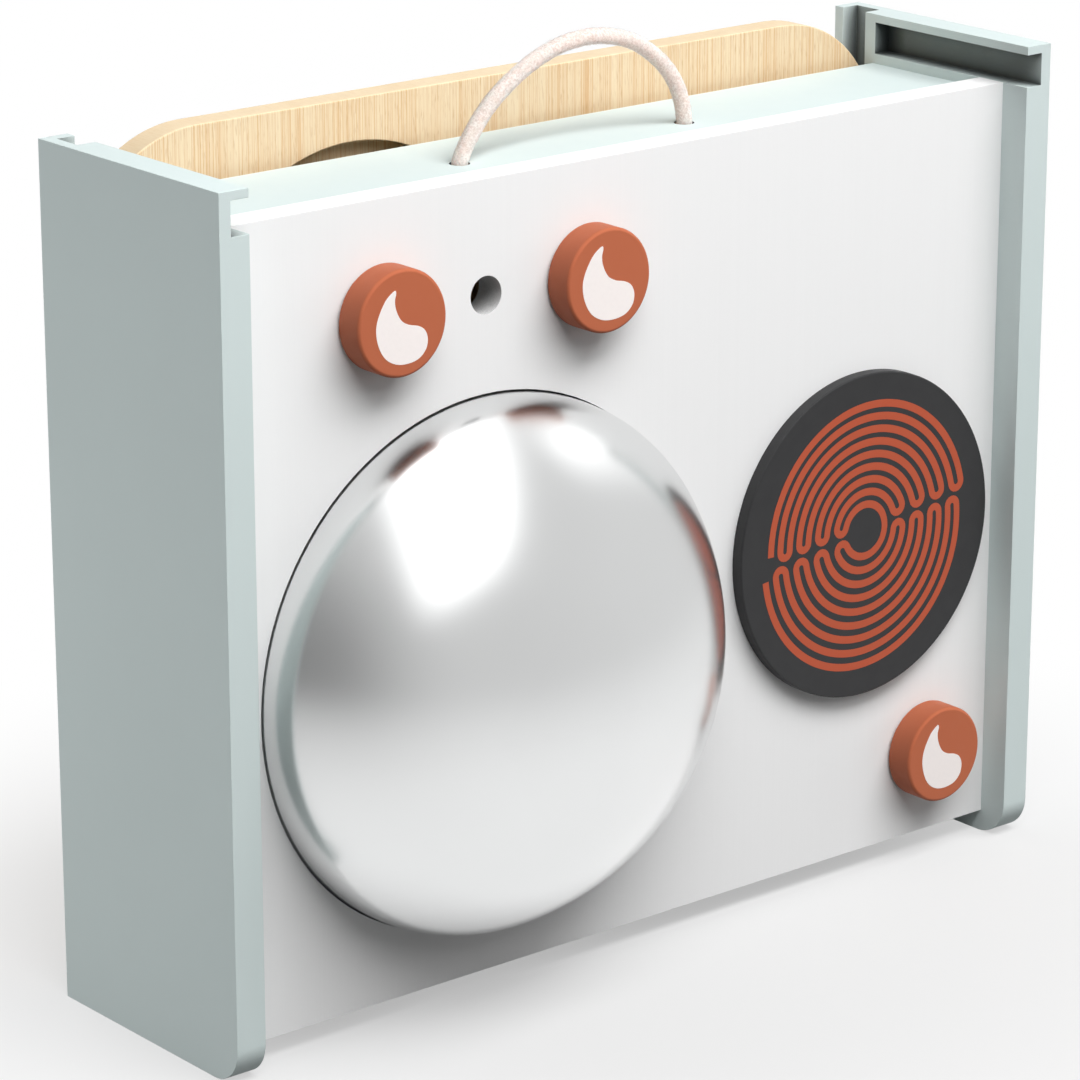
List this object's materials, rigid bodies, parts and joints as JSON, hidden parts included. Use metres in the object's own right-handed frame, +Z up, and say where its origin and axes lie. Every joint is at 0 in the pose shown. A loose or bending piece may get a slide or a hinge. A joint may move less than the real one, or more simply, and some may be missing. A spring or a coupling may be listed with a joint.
{
  "type": "tabletop play kitchen",
  "caption": "Carry-case play kitchen: painted board case with a domed steel sink bowl, round hob, turning knobs, rope handle and a sliding wooden back board.",
  "frame": {"origin": "middle of the bounding box, on the floor that the side panels stand on", "axes": "+X to the right seen from the front, +Y to the rear, +Z up; sink and hob face -Y"},
  "size_m": [0.38, 0.163, 0.3352],
  "materials": {
    "mint_paint": "satin paint on board",
    "white_paint": "matt white coating on board",
    "bare_maple": "bare sanded pale wood",
    "polished_steel": "polished",
    "charcoal_paint": "matt paint",
    "terracotta_paint": "satin paint",
    "grey_felt": "felt",
    "zinc": "zinc plated",
    "cotton_rope": "twisted cotton"
  },
  "bodies": {
    "case": {"left_side_panel": "mint_paint", "right_side_panel": "mint_paint", "front_panel": "white_paint", "top_panel": "mint_paint", "bottom_panel": "mint_paint", "panel_dowels": "bare_maple", "hob_plate": "charcoal_paint", "hob_screws": "zinc", "rope_handle": "cotton_rope", "rope_knots": "cotton_rope"},
    "back_board": {"back_board": "bare_maple"},
    "sink_bowl": {"sink_bowl": "polished_steel"},
    "left_tap": {"left_tap_knob": "terracotta_paint", "left_tap_felt": "grey_felt", "left_tap_spindle": "bare_maple", "left_tap_washer": "zinc", "left_tap_screw": "zinc"},
    "right_tap": {"right_tap_knob": "terracotta_paint", "right_tap_felt": "grey_felt", "right_tap_spindle": "bare_maple", "right_tap_washer": "zinc", "right_tap_screw": "zinc"},
    "hob_knob": {"hob_knob": "terracotta_paint", "hob_knob_felt": "grey_felt", "hob_knob_spindle": "bare_maple", "hob_knob_washer": "zinc", "hob_knob_screw": "zinc"}
  },
  "joints": [
    {"name": "board_slide", "type": "slide", "parent": "case", "child": "back_board", "axis": [0, 0, 1], "range_m": [0, 0.27]},
    {"name": "bowl_slide", "type": "slide", "parent": "case", "child": "sink_bowl", "axis": [0, 1, 0], "range_m": [0, 0.058]},
    {"name": "left_tap_turn", "type": "hinge", "parent": "case", "child": "left_tap", "pos_m": [-0.11525, -0.0105, 0.2579], "axis": [0, -1, 0], "continuous": true},
    {"name": "right_tap_turn", "type": "hinge", "parent": "case", "child": "right_tap", "pos_m": [-0.02465, -0.0105, 0.2579], "axis": [0, -1, 0], "continuous": true},
    {"name": "hob_knob_turn", "type": "hinge", "parent": "case", "child": "hob_knob", "pos_m": [0.1449, -0.0105, 0.04275], "axis": [0, -1, 0], "continuous": true}
  ]
}
